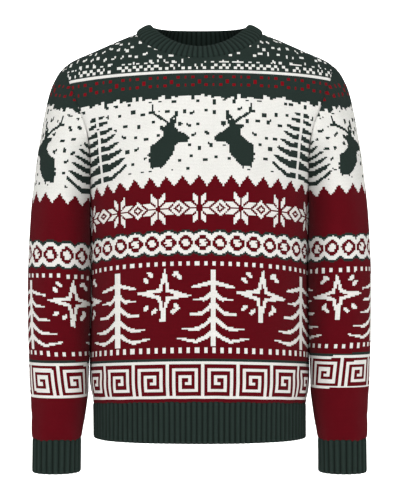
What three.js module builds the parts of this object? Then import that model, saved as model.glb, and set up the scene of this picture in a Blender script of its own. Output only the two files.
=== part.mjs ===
import * as THREE from "three";

// A crew-neck jumper, filled out as worn. Millimetres, +Z up, the front faces -Y.
// The origin is the middle of the neck hole at the height of the shoulder points.

// Named sizes
const WALL = 2.6;
const RIB_WALL = 2.0;
const RIB_RAISE = 0.9;
const SEAM_GAP = 0.3;
const TORSO_POWER = 2.4;
const SLEEVE_POWER = 2.2;
const NECK_HALF_WIDTH = 102.5;
const NECK_FRONT_Z = -50;
const NECK_BACK_Z = -6;
const SHOULDER_TIP_Z = -50;
const ARM_TOUCH_Z = -193;
const UNDERARM_Z = -241;
const SLEEVE_RING_Z = -300;
const HEM_SEAM_Z = -592;
const HEM_END_Z = -655;
const CUFF_SEAM_Z = -657;
const CUFF_END_Z = -714;
const HEM_RIBS_PER_HALF = 55;
const CUFF_RIBS = 25;
const NECK_RIBS = 74;
const BAND_HALF_WIDTH = 78.7;
const BAND_FRONT_DEPTH = 72;
const BAND_BACK_DEPTH = 60;
const BAND_FRONT_Z = -29;
const BAND_SIDE_Z = 17;
const BAND_BACK_Z = 20;

// Torso sections: [height, half width, front depth, back depth]
const TORSO = [
  [0, 102.5, 66, 66],
  [-6, 118, 70, 70],
  [-15, 140, 75, 74],
  [-31, 176, 83, 81],
  [-44, 206, 88, 85],
  [-50, 216, 90, 87],
  [-56, 222, 92.5, 89],
  [-64, 228.5, 95.5, 91.5],
  [-78, 235, 100, 95.5],
  [-96, 238, 105.5, 99.5],
  [-120, 236, 111, 104],
  [-145, 226, 115, 107.5],
  [-170, 210.5, 118, 110],
  [-193, 198.3, 119.5, 111.5],
  [-214, 190.5, 120.5, 112.5],
  [-241, 185, 121, 113],
  [-300, 180.5, 121, 114],
  [-400, 179.5, 120, 115],
  [-500, 179.5, 119.5, 115],
  [-558, 179.5, 119, 115],
  [-580, 177, 117, 113],
  [-592, 174.2, 115, 111],
  [-600, 173.4, 114.3, 110.4],
  [-655, 173, 114, 110],
];

// Armhole seam seen from the front: [height, distance from the middle]
const ARMHOLE = [
  [-50, 216],
  [-56, 215.3],
  [-64, 214],
  [-82, 209.5],
  [-96, 203.3],
  [-109.5, 198],
  [-131, 190],
  [-151, 182.3],
  [-176, 176.5],
  [-193, 174],
];

// Armhole seam under the arm: [height, share of its depth where the arm first touches]
const UNDERARM = [
  [-193, 1],
  [-205, 0.9],
  [-214, 0.77],
  [-224, 0.58],
  [-232, 0.39],
  [-238, 0.18],
  [-241, 0],
];

// Sleeve sections: [height, outermost x, middle x]
const SLEEVE = [
  [-50, 216.6, 150],
  [-56, 224, 150],
  [-64, 230.3, 150],
  [-72, 235, 150],
  [-88, 242.5, 151.5],
  [-105, 247.5, 155],
  [-137, 254.5, 172],
  [-170, 260, 194],
  [-193, 264, 205],
  [-241, 270, 213],
  [-300, 275, 220.6],
  [-400, 278.5, 223],
  [-466, 278, 224],
  [-531, 276, 225],
  [-564, 275, 226],
  [-590, 272.8, 227],
  [-630, 271.6, 229.3],
  [-648, 270.6, 230.6],
  [-657, 269.5, 231],
  [-714, 269.5, 231.5],
];

// Sleeve depth below the armhole: [height, middle y, front depth, back depth]
const SLEEVE_DEPTH = [
  [-241, 0, 74, 73],
  [-300, -8, 69, 68],
  [-400, -16, 65, 61],
  [-500, -21, 58, 56],
  [-560, -23, 52, 50],
  [-600, -24, 47.5, 46],
  [-630, -24.5, 44, 43],
  [-648, -25, 41.5, 41],
  [-657, -25, 39.5, 39.5],
  [-714, -26, 38.5, 38.5],
];

// Rows and columns of the grids
const BODY_ROWS = [-592, -580, -558, -510, -455, -400, -345, -290];
const ARMHOLE_ROWS = [-241, -237, -228, -214, -193, -168, -143, -118, -96, -77, -63, -54.5, -50];
const SHOULDER_ROWS = [-44, -36, -26, -14, 0];
const PANEL_COLUMNS = [0, 0.08, 0.17, 0.26, 0.36, 0.47, 0.58, 0.69, 0.79, 0.88, 0.95, 1];
const CAP_STEPS = [0, 0.05, 0.12, 0.22, 0.38, 0.58, 0.8, 1];
const ARM_ROWS = [-345, -400, -455, -510, -564, -600, -632, -648, -657];

// Smooth reading of a table, without overshoot
function readTable(table, column, z) {
  const last = table.length - 1;
  if (z >= table[0][0]) return table[0][column];
  if (z <= table[last][0]) return table[last][column];
  let i = 0;
  while (z < table[i + 1][0]) i += 1;
  const slopeOf = (k) => (table[k + 1][column] - table[k][column]) / (table[k + 1][0] - table[k][0]);
  const tangentAt = (k) => {
    if (k === 0) return slopeOf(0);
    if (k === last) return slopeOf(last - 1);
    const before = slopeOf(k - 1);
    const after = slopeOf(k);
    if (before * after <= 0) return 0;
    return (2 * before * after) / (before + after);
  };
  const step = table[i + 1][0] - table[i][0];
  const f = (z - table[i][0]) / step;
  const a = table[i][column];
  const b = table[i + 1][column];
  const h00 = (1 + 2 * f) * (1 - f) * (1 - f);
  const h10 = f * (1 - f) * (1 - f);
  const h01 = f * f * (3 - 2 * f);
  const h11 = f * f * (f - 1);
  return h00 * a + h10 * step * tangentAt(i) + h01 * b + h11 * step * tangentAt(i + 1);
}

function smoothMax(a, b, blend) {
  const h = Math.min(Math.max(0.5 + (0.5 * (a - b)) / blend, 0), 1);
  return b + (a - b) * h + blend * h * (1 - h);
}

// Torso surface. side is -1 for the front half, +1 for the back half
function torsoSizes(z, side) {
  return { a: readTable(TORSO, 1, z), b: readTable(TORSO, side < 0 ? 2 : 3, z) };
}

function torsoX(y, z) {
  const { a, b } = torsoSizes(z, y);
  const rest = Math.max(1 - Math.pow(Math.abs(y) / b, TORSO_POWER), 0);
  return a * Math.pow(rest, 1 / TORSO_POWER);
}

const quarterCache = new Map();
function torsoQuarter(z, side) {
  const key = `${z.toFixed(4)}/${side}`;
  if (quarterCache.has(key)) return quarterCache.get(key);
  const { a, b } = torsoSizes(z, side);
  const power = 2 / TORSO_POWER;
  const points = [];
  let length = 0;
  for (let i = 0; i <= 120; i += 1) {
    const angle = (i / 120) * (Math.PI / 2);
    const x = a * Math.pow(Math.max(Math.sin(angle), 0), power);
    const y = b * Math.pow(Math.max(Math.cos(angle), 0), power);
    if (i > 0) length += Math.hypot(x - points[i - 1].x, y - points[i - 1].y);
    points.push({ x, y, length });
  }
  points[120].y = 0;
  const quarter = { points, total: length };
  quarterCache.set(key, quarter);
  return quarter;
}

// share runs from 0 at the middle to 1 at the side, along the cloth
function torsoPoint(share, z, side) {
  const { points, total } = torsoQuarter(z, side);
  const wanted = Math.min(Math.abs(share), 1) * total;
  let i = 1;
  while (i < 120 && points[i].length < wanted) i += 1;
  const from = points[i - 1];
  const to = points[i];
  const f = (wanted - from.length) / (to.length - from.length);
  const x = from.x + (to.x - from.x) * f;
  const y = from.y + (to.y - from.y) * f;
  return new THREE.Vector3(Math.sign(share) * x, side * y, z);
}

function torsoShare(x, z, side) {
  const { points, total } = torsoQuarter(z, side);
  let i = 1;
  while (i < 120 && points[i].x < x) i += 1;
  const f = Math.min((x - points[i - 1].x) / (points[i].x - points[i - 1].x), 1);
  return (points[i - 1].length + (points[i].length - points[i - 1].length) * f) / total;
}

function torsoNormal(share, z, side) {
  const step = 0.004;
  const rise = 1.0;
  let along = new THREE.Vector3(0, -side, 0);
  if (Math.abs(share) < 0.998) {
    along = torsoPoint(share + step, z, side).sub(torsoPoint(share - step, z, side));
    if (share < 0) along.negate();
    if (Math.abs(share) < step) along.set(1, 0, 0);
  }
  const mirror = share < 0 ? -1 : 1;
  const up = torsoPoint(share, Math.min(z + rise, 0), side).sub(torsoPoint(share, z - rise, side));
  const normal = new THREE.Vector3().crossVectors(along, up).normalize();
  if (normal.y * side < -0.2 || (Math.abs(normal.y) <= 0.2 && normal.x * mirror < 0)) normal.negate();
  return normal;
}

// Armhole seam on the torso, right-hand side
function armholePoint(z, side) {
  if (z >= SHOULDER_TIP_Z) return new THREE.Vector3(torsoSizes(z, side).a, 0, z);
  if (z >= ARM_TOUCH_Z) {
    const x = readTable(ARMHOLE, 1, z);
    const { a, b } = torsoSizes(z, side);
    const rest = Math.max(1 - Math.pow(x / a, TORSO_POWER), 0);
    return new THREE.Vector3(x, side * b * Math.pow(rest, 1 / TORSO_POWER), z);
  }
  const touch = armholePoint(ARM_TOUCH_Z, side).y;
  const y = touch * readTable(UNDERARM, 1, z);
  return new THREE.Vector3(torsoX(y, z), y, z);
}

// Neck seam: height on the panel at a share of its width
function neckHeight(share, side) {
  const low = side < 0 ? NECK_FRONT_Z : NECK_BACK_Z;
  let bottom = low;
  let top = 0;
  for (let i = 0; i < 50; i += 1) {
    const z = (bottom + top) / 2;
    const edge = NECK_HALF_WIDTH * Math.sqrt(Math.max(1 - Math.pow(z / low, 1 / 0.6), 0));
    if (torsoPoint(Math.abs(share), z, side).x > edge) bottom = z;
    else top = z;
  }
  return (bottom + top) / 2;
}

// Sleeve surface, right-hand side: half a section from its outermost point to the seam
const sleeveCache = new Map();
function sleeveDepth(z, side) {
  if (z >= ARM_TOUCH_Z) {
    const seam = armholePoint(Math.min(z, SHOULDER_TIP_Z - 1), side);
    const middle = readTable(SLEEVE, 2, z);
    const half = readTable(SLEEVE, 1, z) - middle;
    const rest = 1 - Math.pow(Math.abs(seam.x - middle) / half, SLEEVE_POWER);
    return Math.abs(seam.y) / Math.pow(rest, 1 / SLEEVE_POWER);
  }
  const column = side < 0 ? 2 : 3;
  if (z >= UNDERARM_Z) {
    const f = (z - UNDERARM_Z) / (ARM_TOUCH_Z - UNDERARM_Z);
    const ease = f * f * (3 - 2 * f);
    const low = SLEEVE_DEPTH[0][column];
    return low + (sleeveDepth(ARM_TOUCH_Z, side) - low) * ease;
  }
  return readTable(SLEEVE_DEPTH, column, z);
}

function sleeveHalf(z, side) {
  const key = `${z.toFixed(4)}/${side}`;
  if (sleeveCache.has(key)) return sleeveCache.get(key);
  const outer = readTable(SLEEVE, 1, z);
  const middle = readTable(SLEEVE, 2, z);
  const half = outer - middle;
  const centre = readTable(SLEEVE_DEPTH, 1, z);
  const depth = sleeveDepth(z, side);
  const seam = armholePoint(z, side);
  let end = Math.PI;
  if (z >= UNDERARM_Z) {
    const across = (seam.x - middle) / half;
    const deep = Math.min(Math.abs(seam.y - centre) / depth, 1);
    const rise = Math.pow(deep, SLEEVE_POWER / 2);
    if (z >= ARM_TOUCH_Z) {
      const run = Math.sign(across) * Math.pow(Math.abs(across), SLEEVE_POWER / 2);
      end = Math.atan2(rise, run);
    } else {
      end = Math.PI - Math.asin(Math.min(rise, 1));
    }
  }
  const points = [];
  let length = 0;
  const count = 90;
  for (let i = 0; i <= count; i += 1) {
    const angle = (i / count) * end;
    const c = Math.cos(angle);
    const s = Math.max(Math.sin(angle), 0);
    const xFree = middle + half * Math.sign(c) * Math.pow(Math.abs(c), 2 / SLEEVE_POWER);
    const y = centre + side * depth * Math.pow(s, 2 / SLEEVE_POWER);
    let x = xFree;
    if (c < 0 || z > ARM_TOUCH_Z) {
      const beyond = Math.max(Math.abs(y) - Math.abs(seam.y), 0) * (z > UNDERARM_Z ? 1 : 0);
      const below = Math.max(UNDERARM_Z - z, 0);
      const away = Math.hypot(beyond + (z > UNDERARM_Z ? 0 : Math.abs(y)), below);
      const gap = SEAM_GAP + 1.4 * (1 - Math.exp(-away / 20));
      const blend = 0.4 + 5 * (1 - Math.exp(-away / 40));
      x = smoothMax(xFree, torsoX(y, z) + gap, blend);
    }
    if (i > 0) length += Math.hypot(x - points[i - 1].x, y - points[i - 1].y);
    points.push({ x, y, length });
  }
  const result = { points, total: length };
  sleeveCache.set(key, result);
  return result;
}

function sleevePoint(distance, z, side) {
  const { points, total } = sleeveHalf(z, side);
  const wanted = Math.min(distance, total);
  let i = 1;
  while (i < points.length - 1 && points[i].length < wanted) i += 1;
  const from = points[i - 1];
  const to = points[i];
  const span = to.length - from.length;
  const f = span > 1e-9 ? (wanted - from.length) / span : 0;
  return new THREE.Vector3(from.x + (to.x - from.x) * f, from.y + (to.y - from.y) * f, z);
}

// Solids are made from an outer grid and an inner grid with the same number of rows
class SolidMaker {
  constructor() {
    this.positions = [];
    this.faces = [];
  }

  addGrid(grid) {
    return grid.map((row) => row.map((p) => {
      this.positions.push(p.x, p.y, p.z);
      return this.positions.length / 3 - 1;
    }));
  }

  addSheet(ids, closed, flip) {
    for (let r = 0; r + 1 < ids.length; r += 1) {
      const count = ids[r].length;
      const steps = closed ? count : count - 1;
      for (let c = 0; c < steps; c += 1) {
        const n = (c + 1) % count;
        this.addQuad(ids[r][c], ids[r][n], ids[r + 1][n], ids[r + 1][c], flip);
      }
    }
  }

  addQuad(a, b, c, d, flip) {
    if (flip) {
      this.faces.push(a, c, b, a, d, c);
    } else {
      this.faces.push(a, b, c, a, c, d);
    }
  }

  // Joins two edges that may have different numbers of points
  addStrip(edgeA, edgeB, closed, flip) {
    const a = closed ? [...edgeA, edgeA[0]] : edgeA;
    const b = closed ? [...edgeB, edgeB[0]] : edgeB;
    let i = 0;
    let j = 0;
    while (i < a.length - 1 || j < b.length - 1) {
      const nextA = (i + 1) / (a.length - 1);
      const nextB = (j + 1) / (b.length - 1);
      const stepA = j >= b.length - 1 || (i < a.length - 1 && nextA <= nextB + 1e-9);
      const face = stepA ? [a[i], a[i + 1], b[j]] : [a[i], b[j + 1], b[j]];
      if (flip) face.reverse();
      this.faces.push(...face);
      if (stepA) i += 1;
      else j += 1;
    }
  }

  toMesh(name, material) {
    let volume = 0;
    const at = (k) => new THREE.Vector3().fromArray(this.positions, k * 3);
    for (let f = 0; f < this.faces.length; f += 3) {
      const [a, b, c] = [at(this.faces[f]), at(this.faces[f + 1]), at(this.faces[f + 2])];
      volume += a.dot(b.cross(c)) / 6;
    }
    const faces = volume < 0 ? [...this.faces].reverse() : this.faces;
    const geometry = new THREE.BufferGeometry();
    geometry.setAttribute("position", new THREE.Float32BufferAttribute(this.positions, 3));
    geometry.setIndex(faces);
    geometry.computeVertexNormals();
    const mesh = new THREE.Mesh(geometry, material);
    mesh.name = name;
    return mesh;
  }
}

function wallSolid(outer, inner, closed) {
  const maker = new SolidMaker();
  const outerIds = maker.addGrid(outer);
  const innerIds = maker.addGrid(inner);
  const last = outerIds.length - 1;
  maker.addSheet(outerIds, closed, false);
  maker.addSheet(innerIds, closed, true);
  maker.addStrip(outerIds[0], innerIds[0], closed, true);
  maker.addStrip(outerIds[last], innerIds[last], closed, false);
  if (!closed) {
    for (let r = 0; r < last; r += 1) {
      const endO = outerIds[r].length - 1;
      const endI = innerIds[r].length - 1;
      maker.addQuad(outerIds[r][0], outerIds[r + 1][0], innerIds[r + 1][0], innerIds[r][0], false);
      maker.addQuad(outerIds[r][endO], outerIds[r + 1][endO], innerIds[r + 1][endI], innerIds[r][endI], true);
    }
  }
  return maker;
}

function gridNormals(grid, closed) {
  return grid.map((row, r) => row.map((p, c) => {
    const count = row.length;
    const left = closed ? row[(c + count - 1) % count] : row[Math.max(c - 1, 0)];
    const right = closed ? row[(c + 1) % count] : row[Math.min(c + 1, count - 1)];
    const down = grid[Math.max(r - 1, 0)][c];
    const up = grid[Math.min(r + 1, grid.length - 1)][c];
    const across = new THREE.Vector3().subVectors(right, left);
    const along = new THREE.Vector3().subVectors(up, down);
    return new THREE.Vector3().crossVectors(across, along).normalize();
  }));
}

function moved(point, direction, distance) {
  return point.clone().addScaledVector(direction, distance);
}

// Panels of the body
function panelGrid(side) {
  const columns = [...PANEL_COLUMNS.slice(1).reverse().map((u) => -u), ...PANEL_COLUMNS];
  const neckLow = side < 0 ? NECK_FRONT_Z : NECK_BACK_Z;
  const lift = columns.map((u) => 1 - neckHeight(u, side) / neckLow);
  const rows = BODY_ROWS.map((z) => ({ side: z, share: 1, middle: z }));
  const seam = ARMHOLE_ROWS.map((z) => armholePoint(z, side));
  SHOULDER_ROWS.forEach((z) => seam.push(new THREE.Vector3(torsoSizes(z, side).a, 0, z)));
  let length = 0;
  const lengths = seam.map((p, i) => {
    if (i > 0) length += p.distanceTo(seam[i - 1]);
    return length;
  });
  seam.forEach((p, i) => {
    const onArmhole = i > 0 && i < ARMHOLE_ROWS.length - 1;
    const share = onArmhole ? torsoShare(p.x, p.z, side) : 1;
    const middle = UNDERARM_Z + (neckLow - UNDERARM_Z) * (lengths[i] / length);
    rows.push({ side: p.z, share, middle });
  });
  const outer = [];
  const normals = [];
  rows.forEach((row, r) => {
    const top = r === rows.length - 1;
    const points = [];
    const directions = [];
    columns.forEach((u, c) => {
      const z = top ? neckHeight(u, side) : row.middle + (row.side - row.middle) * lift[c];
      const share = u * row.share;
      const atEnd = Math.abs(u) === 1;
      const height = atEnd ? row.side : z;
      const point = torsoPoint(share, height, side);
      const direction = torsoNormal(share, height, side);
      if (atEnd && row.share === 1) {
        point.y = (side * SEAM_GAP) / 2;
        direction.y = 0;
        direction.normalize();
      }
      points.push(point);
      directions.push(direction);
    });
    outer.push(points);
    normals.push(directions);
  });
  return { outer, normals };
}

function panelSolid(grid) {
  const inner = grid.outer.map((row, r) => row.map((p, c) => moved(p, grid.normals[r][c], -WALL)));
  return wallSolid(grid.outer, inner, false);
}

// Sleeves: a ring at the armhole seam, drawn down to level rings
function sleeveGrid(mirror) {
  const heights = [...ARMHOLE_ROWS].reverse();
  const last = heights.length - 1;
  const columns = [];
  [-1, 1].forEach((side) => {
    const seam = heights.map((z) => armholePoint(z, side));
    let length = 0;
    const lengths = seam.map((p, i) => {
      if (i > 0) length += p.distanceTo(seam[i - 1]);
      return length;
    });
    const list = heights.map((z, i) => ({ z, side, share: lengths[i] / length, seam: seam[i] }));
    if (side < 0) columns.push(...list);
    else columns.push(...list.slice(1, last).reverse());
  });
  const pointAt = (column, z, step) => {
    const ring = sleeveHalf(SLEEVE_RING_Z, column.side).total;
    const start = sleeveHalf(column.z, column.side).total;
    const wide = start + (column.share * ring - start) * step;
    return sleevePoint(wide, z, column.side);
  };
  const outer = CAP_STEPS.map((step) => columns.map((column) => {
    const z = column.z + (SLEEVE_RING_Z - column.z) * step;
    const top = column.z === SHOULDER_TIP_Z && step === 0;
    if (top) return new THREE.Vector3(SLEEVE[0][1], 0, SHOULDER_TIP_Z);
    return pointAt(column, z, step);
  }));
  ARM_ROWS.forEach((z) => {
    outer.push(columns.map((column) => {
      const { total } = sleeveHalf(z, column.side);
      return sleevePoint(column.share * total, z, column.side);
    }));
  });
  const normals = gridNormals(outer, true);
  columns.forEach((column, c) => {
    const share = torsoShare(Math.min(column.seam.x, torsoSizes(column.z, column.side).a), column.z, column.side);
    const onTorso = torsoNormal(Math.abs(column.seam.y) < 1e-6 ? 1 : share, column.z, column.side);
    const alike = onTorso.dot(normals[0][c]);
    const own = Math.min(Math.max((0.9 - alike) / 0.5, 0), 1);
    normals[0][c].multiplyScalar(own).addScaledVector(onTorso, 1 - own).normalize();
  });
  const flip = (p) => new THREE.Vector3(mirror * p.x, p.y, p.z);
  return {
    outer: outer.map((row) => row.map(flip)),
    normals: normals.map((row) => row.map(flip)),
  };
}

function sleeveSolid(grid) {
  const inner = grid.outer.map((row, r) => row.map((p, c) => moved(p, grid.normals[r][c], -WALL)));
  return wallSolid(grid.outer, inner, true);
}

// Ribbed pieces. A ridge starts at 0.3 and ends at 0.7 of each rib
const RIB_PROFILE = [[0, 0], [0.3, 1], [0.7, 1]];

function ribShares(count, closed) {
  const shares = [];
  for (let i = 0; i < count; i += 1) {
    RIB_PROFILE.forEach(([place, raise]) => shares.push({ at: (i + place) / count, raise }));
  }
  if (!closed) shares.push({ at: 1, raise: 0 });
  return shares;
}

function plainShares(count, closed) {
  return Array.from({ length: closed ? count : count + 1 }, (_, i) => ({ at: i / count, raise: 0 }));
}

// base(share, row) gives the point and normal of the band without ribs
function ribbedSolid(ribs, rowCount, closed, base) {
  const outer = [];
  const inner = [];
  for (let r = 0; r < rowCount; r += 1) {
    outer.push(ribShares(ribs, closed).map(({ at, raise }) => {
      const { point, normal } = base(at, r);
      return moved(point, normal, RIB_RAISE * (raise - 0.5));
    }));
    inner.push(plainShares(ribs, closed).map(({ at }) => {
      const { point, normal, rim } = base(at, r);
      return moved(point, rim || normal, -RIB_WALL - RIB_RAISE * 0.5);
    }));
  }
  return wallSolid(outer, inner, closed);
}

const HEM_ROWS = [HEM_SEAM_Z - SEAM_GAP, -622, HEM_END_Z];
function hemSolid(side) {
  return ribbedSolid(HEM_RIBS_PER_HALF, HEM_ROWS.length, false, (at, r) => {
    const share = 2 * at - 1;
    const point = torsoPoint(share, HEM_ROWS[r], side);
    const normal = torsoNormal(share, HEM_ROWS[r], side);
    normal.z = 0;
    normal.normalize();
    if (at < 1e-9 || at > 1 - 1e-9) {
      point.y = (side * SEAM_GAP) / 2;
      normal.set(Math.sign(share), 0, 0);
    }
    return { point, normal };
  });
}

const CUFF_ROWS = [CUFF_SEAM_Z - SEAM_GAP, -685, CUFF_END_Z];
function cuffSolid(mirror) {
  return ribbedSolid(CUFF_RIBS, CUFF_ROWS.length, true, (at, r) => {
    const z = CUFF_ROWS[r];
    const front = sleeveHalf(z, -1).total;
    const back = sleeveHalf(z, 1).total;
    const placeAt = (share) => {
      const distance = (((share % 1) + 1) % 1) * (front + back);
      if (distance <= front) return sleevePoint(distance, z, -1);
      return sleevePoint(front + back - distance, z, 1);
    };
    const point = placeAt(at);
    const along = placeAt(at + 0.01).sub(placeAt(at - 0.01));
    const normal = new THREE.Vector3(-along.y, along.x, 0).normalize();
    const middle = new THREE.Vector3(readTable(SLEEVE, 2, z), readTable(SLEEVE_DEPTH, 1, z), z);
    if (normal.dot(point.clone().sub(middle)) < 0) normal.negate();
    point.x *= mirror;
    normal.x *= mirror;
    return { point, normal };
  });
}

// Neckband: follows the neck edge of both panels, and leans in to its own top edge
function neckSeam(front, back) {
  const f = front.outer.length - 1;
  const b = back.outer.length - 1;
  const points = [...front.outer[f], ...[...back.outer[b]].reverse().slice(1, -1)];
  const normals = [...front.normals[f], ...[...back.normals[b]].reverse().slice(1, -1)];
  const half = front.outer[f].length - 1;
  return { points, normals, half };
}

function bandTop(share, side) {
  const angle = share * (Math.PI / 2);
  const depth = side < 0 ? BAND_FRONT_DEPTH : BAND_BACK_DEPTH;
  const x = BAND_HALF_WIDTH * Math.pow(Math.max(Math.sin(angle), 0), 0.95);
  const y = side * depth * Math.pow(Math.max(Math.cos(angle), 0), 0.95);
  const low = side < 0 ? BAND_FRONT_Z : BAND_BACK_Z;
  const level = Math.pow(Math.max(1 - (x / BAND_HALF_WIDTH) ** 2, 0), 0.8);
  return new THREE.Vector3(x, y, BAND_SIDE_Z + (low - BAND_SIDE_Z) * level);
}

function neckbandSolid(front, back) {
  const seam = neckSeam(front, back);
  const count = seam.points.length;
  const lengths = [0];
  for (let i = 1; i <= count; i += 1) {
    lengths.push(lengths[i - 1] + seam.points[i % count].distanceTo(seam.points[i - 1]));
  }
  const frontLength = lengths[seam.half];
  const total = lengths[count];
  const seamAt = (at) => {
    const wanted = (((at % 1) + 1) % 1) * total;
    let i = 1;
    while (i < count && lengths[i] < wanted) i += 1;
    const f = (wanted - lengths[i - 1]) / (lengths[i] - lengths[i - 1]);
    const point = seam.points[i - 1].clone().lerp(seam.points[i % count], f);
    const normal = seam.normals[i - 1].clone().lerp(seam.normals[i % count], f).normalize();
    const along = new THREE.Vector3().subVectors(seam.points[i % count], seam.points[i - 1]).normalize();
    return { point, normal, along, wanted };
  };
  const topAt = (wanted) => {
    const onFront = wanted <= frontLength;
    const half = onFront ? frontLength / 2 : (total - frontLength) / 2;
    const middle = onFront ? frontLength / 2 : frontLength + half;
    const away = (wanted - middle) / half;
    const top = bandTop(Math.min(Math.abs(away), 1), onFront ? -1 : 1);
    top.x *= Math.sign(away) * (onFront ? 1 : -1);
    return top;
  };
  const rows = [0, 0.5, 1];
  const place = (at, r) => {
    const { point, normal, along, wanted } = seamAt(at);
    const inward = new THREE.Vector3().crossVectors(normal, along).normalize();
    if (inward.z < 0) inward.negate();
    const start = moved(point, inward, SEAM_GAP + 0.05);
    const end = topAt(wanted);
    const mid = start.clone().lerp(end, rows[r]);
    return moved(mid, normal, 3 * rows[r] * (1 - rows[r]));
  };
  return ribbedSolid(NECK_RIBS, rows.length, true, (at, r) => {
    const point = place(at, r);
    const along = place(at + 0.004, r).sub(place(at - 0.004, r));
    const rise = place(at, Math.min(r + 1, 2)).sub(place(at, Math.max(r - 1, 0)));
    const normal = new THREE.Vector3().crossVectors(along, rise).normalize();
    const seamNormal = seamAt(at).normal;
    if (normal.dot(seamNormal) < 0) normal.negate();
    return { point, normal, rim: r === 0 ? seamNormal : normal };
  });
}

// Materials
const knit = new THREE.MeshStandardMaterial({ color: 0x7a2530, roughness: 0.95, metalness: 0 });
knit.name = "patterned_knit";
const rib = new THREE.MeshStandardMaterial({ color: 0x222b28, roughness: 0.95, metalness: 0 });
rib.name = "green_rib";

const front = panelGrid(-1);
const back = panelGrid(1);
const group = new THREE.Group();
group.name = "christmas_sweater";
group.add(panelSolid(front).toMesh("front_panel", knit));
group.add(panelSolid(back).toMesh("back_panel", knit));
group.add(sleeveSolid(sleeveGrid(-1)).toMesh("sleeve_left", knit));
group.add(sleeveSolid(sleeveGrid(1)).toMesh("sleeve_right", knit));
group.add(neckbandSolid(front, back).toMesh("neckband", rib));
group.add(hemSolid(-1).toMesh("hem_rib_front", rib));
group.add(hemSolid(1).toMesh("hem_rib_back", rib));
group.add(cuffSolid(-1).toMesh("cuff_left", rib));
group.add(cuffSolid(1).toMesh("cuff_right", rib));

export default group;
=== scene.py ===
import math

import bpy
import numpy as np
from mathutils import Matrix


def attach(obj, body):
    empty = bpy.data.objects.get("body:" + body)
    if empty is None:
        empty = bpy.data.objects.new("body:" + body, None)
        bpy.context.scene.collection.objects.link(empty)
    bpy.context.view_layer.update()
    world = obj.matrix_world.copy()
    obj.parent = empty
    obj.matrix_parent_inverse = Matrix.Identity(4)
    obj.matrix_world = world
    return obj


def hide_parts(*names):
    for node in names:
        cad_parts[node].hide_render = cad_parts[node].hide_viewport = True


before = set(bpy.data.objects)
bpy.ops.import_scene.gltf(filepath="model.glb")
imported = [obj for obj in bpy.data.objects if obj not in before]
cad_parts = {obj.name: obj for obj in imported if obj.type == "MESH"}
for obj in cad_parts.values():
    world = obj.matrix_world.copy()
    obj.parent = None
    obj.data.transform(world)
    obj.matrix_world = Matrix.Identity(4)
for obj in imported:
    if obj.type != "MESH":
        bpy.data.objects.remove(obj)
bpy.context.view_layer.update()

# Sizes in millimetres, +Z up, front faces -Y. The meshes are made in metres.
MM = 0.001
WALL = 2.4
TORSO_POWER = 2.4
SLEEVE_POWER = 2.2
NECK_HALF_WIDTH = 102.5
NECK_FRONT_Z = -50.0
NECK_BACK_Z = -6.0
SHOULDER_TIP_Z = -50.0
ARM_TOUCH_Z = -193.0
UNDERARM_Z = -241.0
HEM_SEAM_Z = -590.0
HEM_END_Z = -654.5
CUFF_SEAM_Z = -656.0
CUFF_END_Z = -709.5
STITCH_WIDE = 2.5
STITCH_HIGH = 2.15
PANEL_STITCHES = 196
PANEL_HALF = PANEL_STITCHES * STITCH_WIDE / 2
SLEEVE_STITCHES = 156
SEAM_ALLOWANCE = 0.8
SLEEVE_ALLOWANCE = 0.6
RIB_ALLOWANCE = 1.0
HEM_RIBS = 55
CUFF_RIBS = 25
NECK_RIBS = 74
RIB_COLUMNS = 8
CUFF_RIB_COLUMNS = 10
RIB_ROWS = 26

# Torso sections: height, half width, front depth, back depth
TORSO = [
    (0, 102.5, 66, 66), (-6, 118, 70, 70), (-15, 140, 75, 74), (-31, 176, 83, 81),
    (-44, 206, 88, 85), (-50, 216, 90, 87), (-56, 222, 92.5, 89),
    (-64, 228.5, 95.5, 91.5), (-78, 235, 100, 95.5), (-96, 238, 105.5, 99.5),
    (-120, 236, 111, 104), (-145, 226, 115, 107.5), (-170, 210.5, 118, 110),
    (-193, 198.3, 119.5, 111.5), (-214, 190.5, 120.5, 112.5), (-241, 185, 121, 113),
    (-300, 180.5, 121, 114), (-400, 179.5, 120, 115), (-500, 179.5, 119.5, 115),
    (-558, 179.5, 119, 115), (-580, 177, 117, 113), (-592, 174.2, 115, 111),
    (-600, 173.4, 114.3, 110.4), (-655, 173, 114, 110),
]

# Armhole seam seen from the front: height, distance from the middle
ARMHOLE = [
    (-50, 216), (-56, 215.3), (-64, 214), (-82, 209.5), (-96, 203.3), (-109.5, 198),
    (-131, 190), (-151, 182.3), (-176, 176.5), (-193, 174),
]

# Armhole seam under the arm: height, share of its depth where the arm first touches
UNDERARM = [
    (-193, 1), (-205, 0.9), (-214, 0.77), (-224, 0.58), (-232, 0.39), (-238, 0.18), (-241, 0),
]

# Sleeve sections: height, outermost x, middle x
SLEEVE = [
    (-50, 216.6, 150), (-56, 224, 150), (-64, 230.3, 150), (-72, 235, 150),
    (-88, 242.5, 151.5), (-105, 247.5, 155), (-137, 254.5, 172), (-170, 260, 194),
    (-193, 264, 205), (-241, 270, 213), (-300, 275, 220.6), (-400, 278.5, 223),
    (-466, 278, 224), (-531, 276, 225), (-564, 275, 226), (-590, 272.8, 227),
    (-630, 271.6, 229.3), (-648, 270.6, 230.6), (-657, 269.5, 231),
    (-714, 269.5, 231.5),
]

# Sleeve depth below the armhole: height, middle y, front depth, back depth
SLEEVE_DEPTH = [
    (-241, 0, 74, 73), (-300, -8, 69, 68), (-400, -16, 65, 61), (-500, -21, 58, 56),
    (-560, -23, 52, 50), (-600, -24, 47.5, 46), (-630, -24.5, 44, 43),
    (-648, -25, 41.5, 41), (-657, -25, 39.5, 39.5), (-714, -26, 38.5, 38.5),
]

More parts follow.
